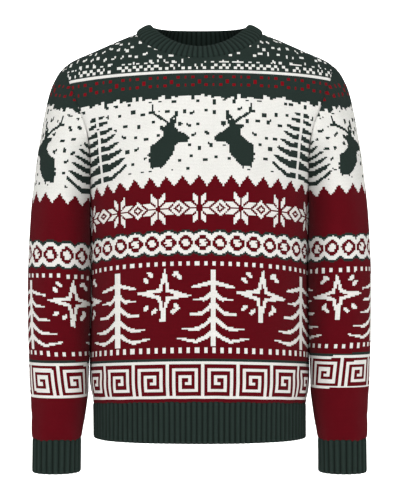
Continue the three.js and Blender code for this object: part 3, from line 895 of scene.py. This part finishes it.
def build_panel(side):
    centre = row_heights()
    u = (np.arange(PANEL_STITCHES + 7) - 3) * STITCH_WIDE - PANEL_HALF
    grid_u, grid_c = np.meshgrid(u, centre)
    z = panel_height(grid_u, grid_c)
    total = torso_total(z, side)
    half = torso_total(UNDERARM_Z, side)
    scale = np.where(z < UNDERARM_Z, total / half, 1.0)
    across = grid_u / PANEL_HALF * half * scale
    points = torso_point(across, z, side)
    arm = np.interp(z, ARMHOLE_LEVELS, ARMHOLE_ACROSS[side])
    free = (z > SHOULDER_TIP_Z) | (z <= UNDERARM_Z)
    limit = np.where(free, total, np.minimum(arm, total))
    inside = limit + SEAM_ALLOWANCE - np.abs(across)
    neck = neck_line(points[..., 0], side) - z
    neck = np.where(np.abs(across) > total, 1.0, neck)
    inside = np.minimum(inside, neck + SEAM_ALLOWANCE)
    inside = np.minimum(inside, grid_c - HEM_SEAM_Z + RIB_ALLOWANCE)
    normals = grid_normals(points, -side)
    gather = 0.7 * np.sin(grid_u / 7.1 + 1.3 * np.sin(grid_u / 31)) * smooth_step(-562, -586, z)
    depth = crease_depth(-side * grid_u, z, PANEL_CREASES) + gather + seam_sink(inside)
    points = points + normals * depth[..., None]
    normals = grid_normals(points, -side)
    cell_u = cell_middle(grid_u)
    cell_z = cell_middle(grid_c)
    codes = chart(cell_u, cell_z, PANEL_STAGS, PANEL_FIRS, PANEL_SHIFT, PANEL_SEED[side], "body")
    return cloth_from_grid(points, normals, inside, codes, np.ones(codes.shape), side > 0)


# Sleeve heights of the chart's bands: chart height, left sleeve, right sleeve
BAND_HEIGHTS = [
    (20, 10, 10), (-71, -73, -72), (-89.6, -93, -92), (-114.5, -116, -116), (-237, -258, -243),
    (-254, -275, -260), (-322, -335, -324), (-361, -380, -367), (-374.4, -391.5, -382),
    (-421, -432.8, -422), (-508.7, -516, -503), (-524, -529, -517), (-583, -586.5, -570.5),
    (-700, -703, -690),
]

# How much lower the bands lie away from the sleeve's outer line: height, drop per square
SLEEVE_DROP = [(-50, 0.0008), (-100, 0.0015), (-130, 0.0018), (-260, 0.0005), (-400, 0.0002), (-660, 0)]


# Sleeve picture: column of BAND_HEIGHTS, place of the front stag, shift of the pines, seed
SLEEVE_PICTURE = {-1: (1, 55, 42, 37), 1: (2, 62, 24, 53)}
SLEEVE_FIRS = [155, -155]


def build_sleeve(mirror):
    fine = np.arange(CUFF_SEAM_Z - 2, SHOULDER_TIP_Z + 0.01, 0.5)
    outer = read_table(SLEEVE, 1, fine)
    run = running_length(fine, outer)
    rows = np.interp(np.arange(0, run[-1], STITCH_HIGH), run, fine)
    rows = np.append(rows, SHOULDER_TIP_Z)
    u = (np.arange(SLEEVE_STITCHES + 1) - SLEEVE_STITCHES / 2) * STITCH_WIDE
    points = np.zeros((len(rows), len(u), 3))
    limits = np.zeros((len(rows), len(u)))
    for j, z in enumerate(rows):
        for side in (-1, 1):
            x, y, length = sleeve_half(z, side)
            pick = u >= 0 if side < 0 else u < 0
            w = np.abs(u[pick])
            beyond = np.clip(w - length[-1], 0, None)
            step = max(length[-1] - length[-4], 1e-6)
            for axis, line in enumerate((x, y)):
                slope = (line[-1] - line[-4]) / step
                points[j, pick, axis] = np.interp(w, length, line) + beyond * slope
            limits[j, pick] = length[-1]
        points[j, :, 2] = z
    grid_u, z = np.meshgrid(u, rows)
    inside = limits + SLEEVE_ALLOWANCE - np.abs(grid_u)
    inside = np.minimum(inside, z - CUFF_SEAM_Z + RIB_ALLOWANCE)
    normals = grid_normals(points, -1)
    bloused = smooth_step(-628, -650, z) * 0.9 * np.sin(grid_u / 6.3 + 1.5 * np.sin(grid_u / 23))
    depth = crease_depth(grid_u, z, SLEEVE_CREASES) + bloused + seam_sink(inside)
    touching = smooth_step(-60, -20, points[..., 0] - read_table(SLEEVE, 2, z))
    depth = np.minimum(depth * (0.25 + 0.75 * touching), 0.9 + 3 * touching)
    points = points + normals * depth[..., None]
    normals = grid_normals(points, -1)
    column, stag_place, shift, seed = SLEEVE_PICTURE[mirror]
    knots = sorted((row[column], row[0]) for row in BAND_HEIGHTS)
    cell_u = cell_middle(grid_u)
    cell_z = cell_middle(z)
    lifted = cell_z + read_table(SLEEVE_DROP, 1, cell_z) * cell_u**2
    height = np.interp(lifted, [k[0] for k in knots], [k[1] for k in knots])
    stags = [(stag_place, -1), (-52, 1)]
    codes = chart(cell_u, height, stags, SLEEVE_FIRS, shift, seed, "sleeve")
    # Where the sleeve turns in to the body, little light reaches the yarn
    shade = 1 - 0.5 * smooth_step(100, 152, np.abs(cell_u)) * smooth_step(-150, -215, cell_z)
    shade = 1 - (1 - shade) * smooth_step(-640, -540, cell_z)
    points[..., 0] *= mirror
    normals[..., 0] *= mirror
    return cloth_from_grid(points, normals, inside, codes, shade, mirror > 0)


# Ribbed pieces
def rib_height(share, count):
    place = np.mod(share * count, 1.0)
    wave = 0.5 - 0.5 * np.cos(2 * np.pi * place)
    return smooth_step(0.1, 0.62, wave)


def band_cloth(outer, inner, uv_outer, uv_inner, closed, flip):
    """Outer and inner grids with the same columns, joined at their top and bottom rows."""
    cloth = Cloth()
    ids = []
    uvs = []
    for points, uv in ((outer, uv_outer), (inner, uv_inner)):
        rows, columns = points.shape[:2]
        grid = cloth.add_points(points) + np.arange(rows * columns).reshape(rows, columns)
        if closed:
            grid = np.concatenate([grid, grid[:, :1]], axis=1)
            uv = np.concatenate([uv, uv[:, :1] + [columns, 0]], axis=1)
        ids.append(grid)
        uvs.append(uv)

    def add(corners, turned):
        order = corners[::-1] if turned else corners
        face = [int(ids[layer][j, i]) for layer, j, i in order]
        cloth.add_face(face, np.array([uvs[layer][j, i] for layer, j, i in order]))

    last = [len(grid) - 1 for grid in ids]
    width = ids[0].shape[1]
    for layer in (0, 1):
        for j in range(last[layer]):
            for i in range(width - 1):
                corners = [(layer, j, i), (layer, j, i + 1), (layer, j + 1, i + 1), (layer, j + 1, i)]
                add(corners, flip if layer == 0 else not flip)
    for i in range(width - 1):
        add([(0, 0, i), (1, 0, i), (1, 0, i + 1), (0, 0, i + 1)], flip)
        add([(0, last[0], i), (0, last[0], i + 1), (1, last[1], i + 1), (1, last[1], i)], flip)
    if not closed:
        ratio = last[1] / last[0]
        for i, turned in ((0, flip), (width - 1, not flip)):
            for j in range(last[0]):
                low = int(j * ratio)
                high = int((j + 1) * ratio)
                corners = [(0, j, i), (0, j + 1, i), (1, high, i)]
                if high > low:
                    corners.append((1, low, i))
                add(corners, turned)
    return cloth


INNER_STEP = 5


def rib_sheets(points, normals, rise, ribs):
    """Outer and inner sheet. The inner one has fewer rows."""
    outer = points + normals * rise[..., None]
    inner = points + normals * (rise - 2.3 - 0.5 * ribs)[..., None]
    return outer, inner[::INNER_STEP]


HEM_SEAM_DROP = 13
HEM_END_DROP = 1


def hem_row_height(share, level):
    drop = HEM_SEAM_DROP * (1 - level) + HEM_END_DROP * level
    top = HEM_SEAM_Z + 1.5
    return top + (HEM_END_Z - top) * level - drop * share**2


def build_hem(side):
    columns = HEM_RIBS * RIB_COLUMNS + 1
    levels = np.linspace(0, 1, RIB_ROWS)
    share = np.linspace(-1, 1, columns)
    grid_s, grid_l = np.meshgrid(share, levels)
    z = hem_row_height(grid_s, grid_l)
    across = grid_s * torso_total(z, side)
    points = torso_point(across, z, side)
    normals = grid_normals(points, side)
    place = (grid_s + 1) / 2
    ribs = rib_height(place, HEM_RIBS)
    rise = (ribs - 0.62) * 1.7 * (0.75 + 0.25 * smooth_step(0, 0.12, grid_l))
    rise -= 1.2 * np.exp(-((grid_l / 0.03) ** 2))
    rise -= 0.9 * smooth_step(0.975, 1.0, grid_l)
    uneven = 0.7 * np.sin(grid_s * 9.2 + 0.6) * grid_l + 0.4 * np.sin(grid_s * 21 + 2.0) * grid_l
    outer, inner = rib_sheets(points, normals, rise + uneven, ribs)
    stitches = grid_s * HEM_RIBS * 2
    uv = np.stack([stitches + HEM_RIBS * 2, (1 - grid_l) * 30], axis=-1)
    return band_cloth(outer, inner, uv, uv[::INNER_STEP], False, side < 0)


def build_cuff(mirror):
    columns = CUFF_RIBS * CUFF_RIB_COLUMNS
    levels = np.linspace(0, 1, RIB_ROWS)
    share = np.arange(columns) / columns
    points = np.zeros((len(levels), columns, 3))
    top = CUFF_SEAM_Z + 1.5
    for j, level in enumerate(levels):
        z = top + (CUFF_END_Z - top) * level
        fx, fy, _ = sleeve_half(z, -1)
        bx, by, _ = sleeve_half(z, 1)
        x = np.concatenate([fx, bx[::-1][1:]])
        y = np.concatenate([fy, by[::-1][1:]])
        run = running_length(x, y)
        points[j, :, 0] = np.interp(share * run[-1], run, x)
        points[j, :, 1] = np.interp(share * run[-1], run, y)
        points[j, :, 2] = z
    ahead = np.roll(points, -1, axis=1) - np.roll(points, 1, axis=1)
    normals = np.stack([-ahead[..., 1], ahead[..., 0], np.zeros_like(ahead[..., 0])], axis=-1)
    normals /= np.linalg.norm(normals, axis=-1, keepdims=True)
    grid_s, grid_l = np.meshgrid(share, levels)
    ribs = rib_height(grid_s, CUFF_RIBS)
    rise = (ribs - 0.6) * 1.9 * (0.7 + 0.3 * smooth_step(0, 0.15, grid_l))
    rise -= 1.2 * np.exp(-((grid_l / 0.03) ** 2))
    rise -= 1.0 * smooth_step(0.97, 1.0, grid_l)
    rise += 0.5 * np.sin(2 * np.pi * grid_s * 2 + 1.0) * grid_l
    outer, inner = rib_sheets(points, normals, rise, ribs)
    outer[..., 0] *= mirror
    inner[..., 0] *= mirror
    uv = np.stack([grid_s * CUFF_RIBS * 4, (1 - grid_l) * 27], axis=-1)
    return band_cloth(outer, inner, uv, uv[::INNER_STEP], True, mirror < 0)


def neck_ring(count):
    """The seam of the neckband, all round, from the front left to the back."""
    samples = []
    for side in (-1, 1):
        x = NECK_HALF_WIDTH * np.sin(np.linspace(-math.pi / 2, math.pi / 2, 181))
        z = neck_line(x, side)
        half, depth = torso_sizes(z, side)
        y = side * depth * section_rest(np.abs(x) / half)
        line = np.stack([x, y, z], axis=-1)
        samples.append(line if side < 0 else line[::-1])
    line = np.concatenate([samples[0], samples[1][1:-1]])
    closed = np.concatenate([line, line[:1]])
    run = np.concatenate([[0], np.cumsum(np.linalg.norm(np.diff(closed, axis=0), axis=1))])
    front = run[180] / run[-1]
    at = np.arange(count) / count
    ring = np.stack([np.interp(at * run[-1], run, closed[:, k]) for k in range(3)], axis=-1)
    return at, ring, front


BAND_HALF_WIDTH = 78.7
BAND_FRONT_DEPTH = 72.0
BAND_BACK_DEPTH = 60.0
BAND_FRONT_Z = -29.0
BAND_SIDE_Z = 17.0
BAND_BACK_Z = 20.0


def band_edge(at, front):
    on_front = at <= front
    half = np.where(on_front, front / 2, (1 - front) / 2)
    middle = np.where(on_front, front / 2, front + (1 - front) / 2)
    away = (at - middle) / half
    angle = np.clip(np.abs(away), 0, 1) * math.pi / 2
    side = np.where(on_front, -1.0, 1.0)
    depth = np.where(on_front, BAND_FRONT_DEPTH, BAND_BACK_DEPTH)
    low = np.where(on_front, BAND_FRONT_Z, BAND_BACK_Z)
    x = BAND_HALF_WIDTH * np.sin(angle) ** 0.95
    y = side * depth * np.clip(np.cos(angle), 0, 1) ** 0.95
    level = np.clip(1 - (x / BAND_HALF_WIDTH) ** 2, 0, None) ** 0.8
    z = BAND_SIDE_Z + (low - BAND_SIDE_Z) * level
    x = -side * x * np.sign(away)
    return np.stack([x, y, z], axis=-1)


def build_neckband():
    columns = NECK_RIBS * RIB_COLUMNS
    at, seam, front = neck_ring(columns)
    top = band_edge(at, front)
    ahead = np.roll(seam, -1, axis=0) - np.roll(seam, 1, axis=0)
    outward = np.cross(ahead, top - seam)
    outward /= np.linalg.norm(outward, axis=1, keepdims=True)
    levels = 0.5 - 0.5 * np.cos(np.linspace(0, math.pi, 20))
    sideways = np.abs(seam[:, 0]) / NECK_HALF_WIDTH
    bulge = (5.0 + 1.6 * sideways**2)[:, None]
    ribs = rib_height(at, NECK_RIBS)[:, None] - 0.6
    level = levels[:, None, None]
    base = seam + (top - seam) * level
    roundness = np.sqrt(np.clip(1 - np.abs(2 * level - 1) ** 3, 0, None)) + 0.02
    outer = base + outward * (-2.0 + (bulge + ribs * 1.3) * roundness)
    inner = base + outward * (-2.0 - (1.4 + ribs * 0.8) * roundness)
    grid_a, grid_l = np.meshgrid(at, levels)
    uv = np.stack([grid_a * NECK_RIBS * 4, grid_l * 13], axis=-1)
    return band_cloth(outer, inner, uv, uv, True, False)


# Materials
def srgb(r, g, b):
    def one(v):
        v = v / 255
        return v / 12.92 if v <= 0.04045 else ((v + 0.055) / 1.055) ** 2.4
    return (one(r), one(g), one(b), 1.0)


YARN = np.array([srgb(36, 47, 43), srgb(88, 11, 20), srgb(223, 222, 217), srgb(116, 11, 21)])


class Nodes:
    def __init__(self, name):
        self.material = bpy.data.materials.new(name)
        self.material.use_nodes = True
        self.tree = self.material.node_tree
        self.shader = self.tree.nodes["Principled BSDF"]

    def add(self, kind, **settings):
        node = self.tree.nodes.new(kind)
        for key, value in settings.items():
            setattr(node, key, value)
        return node

    def link(self, source, target):
        self.tree.links.new(source, target)

    def noise(self, scale, detail, vector):
        node = self.add("ShaderNodeTexNoise")
        node.inputs["Scale"].default_value = scale
        node.inputs["Detail"].default_value = detail
        self.link(vector, node.inputs["Vector"])
        return node.outputs["Fac"]

    def maths(self, operation, *values, clamp=False):
        node = self.add("ShaderNodeMath", operation=operation, use_clamp=clamp)
        for k, value in enumerate(values):
            if isinstance(value, (int, float)):
                node.inputs[k].default_value = value
            else:
                self.link(value, node.inputs[k])
        return node.outputs[0]


def stitch_height(nodes):
    """Height of the yarn: two slanted legs to a stitch."""
    maths = nodes.maths
    uv = nodes.add("ShaderNodeUVMap", uv_map="stitches")
    split = nodes.add("ShaderNodeSeparateXYZ")
    nodes.link(uv.outputs[0], split.inputs[0])
    across = maths("FRACT", split.outputs[0])
    centred = maths("ABSOLUTE", maths("MULTIPLY_ADD", across, 2.0, -1.0))
    leg = maths("ABSOLUTE", maths("MULTIPLY_ADD", centred, 2.0, -1.0))
    slanted = maths("FRACT", maths("MULTIPLY_ADD", centred, 0.7, split.outputs[1]))
    along = maths("SINE", maths("MULTIPLY", slanted, math.pi))
    round_leg = maths("SUBTRACT", 1.0, maths("POWER", leg, 2.2))
    joined = maths("MULTIPLY", round_leg, maths("POWER", along, 0.45))
    return joined, split


def knit_material(name, strength, colour=None):
    nodes = Nodes(name)
    maths = nodes.maths
    shader = nodes.shader.inputs
    height, split = stitch_height(nodes)
    place = nodes.add("ShaderNodeTexCoord").outputs["Object"]
    fibre = nodes.noise(900.0, 3.0, place)
    blotch = nodes.noise(26.0, 4.0, place)
    if colour is None:
        source = nodes.add("ShaderNodeAttribute", attribute_name="yarn").outputs["Color"]
    else:
        plain = nodes.add("ShaderNodeRGB")
        plain.outputs[0].default_value = colour
        source = plain.outputs[0]
    heather = maths("MULTIPLY_ADD", fibre, 0.34, 0.83)
    slow = maths("MULTIPLY_ADD", blotch, 0.14, 0.93)
    # Painted shade: the yarn colour is darkened in the gaps between stitches
    painted_gap_shade = maths("MULTIPLY_ADD", height, 0.5, 0.6)
    if colour is not None:
        # Painted shade on the rib: the colour is darkened in the grooves between ribs and a little
        # lighter on the ridges
        turn = maths("MULTIPLY", split.outputs[0], math.pi / 4)
        ridge = maths("ABSOLUTE", maths("SINE", turn))
        lit = maths("MULTIPLY_ADD", maths("POWER", ridge, 0.8), 0.75, 0.33)
        painted_gap_shade = maths("MULTIPLY", painted_gap_shade, lit)
    # Random yarn tone, times the painted shade in the gaps
    shade = maths("MULTIPLY", maths("MULTIPLY", heather, slow), painted_gap_shade)
    mixed = nodes.add("ShaderNodeVectorMath", operation="SCALE")
    nodes.link(source, mixed.inputs[0])
    nodes.link(shade, mixed.inputs["Scale"])
    nodes.link(mixed.outputs[0], shader["Base Color"])
    rough = maths("MULTIPLY_ADD", fibre, 0.14, 0.82, clamp=True)
    nodes.link(rough, shader["Roughness"])
    shader["Specular IOR Level"].default_value = 0.0
    shader["Sheen Weight"].default_value = 0.02
    shader["Sheen Roughness"].default_value = 0.5
    rise = maths("MULTIPLY_ADD", fibre, 0.35, height)
    bump = nodes.add("ShaderNodeBump")
    bump.inputs["Strength"].default_value = strength
    bump.inputs["Distance"].default_value = 0.0007
    nodes.link(rise, bump.inputs["Height"])
    nodes.link(bump.outputs[0], shader["Normal"])
    return nodes.material


knit = knit_material("patterned_knit_yarn", 0.8)
rib = knit_material("green_rib_yarn", 0.5, tuple(YARN[GREEN]))

# Node, cloth, width and length of its cut in metres, flat area where that isn't a rectangle
PATTERNED = [
    ("front_panel", build_panel(-1), (0.49, 0.62), 0.27),
    ("back_panel", build_panel(1), (0.49, 0.64), 0.277),
    ("sleeve_left", build_sleeve(-1), (0.37, 0.65), 0.185),
    ("sleeve_right", build_sleeve(1), (0.37, 0.65), 0.185),
]
RIBBED = [
    ("hem_rib_front", build_hem(-1), (0.49, 0.066), None),
    ("hem_rib_back", build_hem(1), (0.48, 0.066), None),
    ("cuff_left", build_cuff(-1), (0.245, 0.058), None),
    ("cuff_right", build_cuff(1), (0.245, 0.058), None),
    ("neckband", build_neckband(), (0.54, 0.036), None),
]
SLOTS = [("patterned_knit", knit, YARN, PATTERNED), ("green_rib", rib, None, RIBBED)]

for slot, material, tints, pieces in SLOTS:
    for node, cloth, flat, area in pieces:
        piece = cloth.make(node + "_knit", material, tints)
        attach(piece, "root")
        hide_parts(node)


# Floor and backdrop in one sweep
def sweep_profile():
    line = [(-4.0, -0.76), (0.9, -0.76)]
    for k in range(1, 13):
        angle = k / 12 * math.pi / 2
        line.append((0.9 + 0.9 * math.sin(angle), -0.76 + 0.9 * (1 - math.cos(angle))))
    line.append((1.8, 3.2))
    return line


def build_sweep():
    line = sweep_profile()
    points = []
    for x in (-4.0, 4.0):
        points.extend((x, y, z) for y, z in line)
    count = len(line)
    faces = [(k, k + 1, count + k + 1, count + k) for k in range(count - 1)]
    mesh = bpy.data.meshes.new("studio_sweep")
    mesh.from_pydata(points, [], faces)
    for polygon in mesh.polygons:
        polygon.use_smooth = True
    paper = Nodes("pale_paper")
    shader = paper.shader.inputs
    grain = paper.add("ShaderNodeTexNoise")
    grain.inputs["Scale"].default_value = 40.0
    level = paper.maths("MULTIPLY_ADD", grain.outputs["Fac"], 0.01, 0.93)
    tone = paper.add("ShaderNodeCombineColor")
    for k in range(3):
        paper.link(level, tone.inputs[k])
    paper.link(tone.outputs[0], shader["Base Color"])
    shader["Roughness"].default_value = 0.9
    shader["Specular IOR Level"].default_value = 0.0
    shader["Emission Color"].default_value = (1, 1, 1, 1)
    shader["Emission Strength"].default_value = 0.75
    mesh.materials.append(paper.material)
    return add_object("studio_sweep", mesh)


build_sweep()


# Soft light from both sides, above and in front
LIGHTS = [
    ("soft_left", (-1.7, -2.5, 1.4), 1.6, 38.0),
    ("soft_right", (1.7, -2.5, 1.3), 1.6, 34.0),
    ("soft_top", (0.0, -1.2, 2.0), 1.2, 46.0),
    ("soft_low", (0.0, -3.0, -0.2), 1.2, 6.0),
]
AIM = (0.0, 0.0, -0.35)
for name, place, size, power in LIGHTS:
    data = bpy.data.lights.new(name, "AREA")
    data.shape = "SQUARE"
    data.size = size
    data.energy = power
    lamp = add_object(name, data)
    lamp.location = place
    towards = np.array(AIM) - np.array(place)
    flat_run = math.hypot(towards[0], towards[1])
    lamp.rotation_euler = (math.atan2(flat_run, -towards[2]), 0.0, math.atan2(-towards[0], towards[1]))

world = bpy.data.worlds.new("studio")
bpy.context.scene.world = world
world.use_nodes = True
background = world.node_tree.nodes["Background"].inputs
background[0].default_value = (1, 1, 1, 1)
background[1].default_value = 0.15

# Camera: level, 2.1 m in front, framed as the photo is
DISTANCE = 2.1
PIXEL = 0.00164
camera_data = bpy.data.cameras.new("camera")
camera_data.sensor_fit = "VERTICAL"
camera_data.sensor_height = 24.0
camera_data.lens = DISTANCE / PIXEL / 500 * 24.0
camera_data.shift_y = 25 / 500
camera = add_object("camera", camera_data)
camera.location = (0.0008, -DISTANCE, -0.392)
camera.rotation_euler = (math.pi / 2, 0.0, 0.0)
bpy.context.scene.camera = camera
bpy.context.scene.view_settings.view_transform = "Standard"
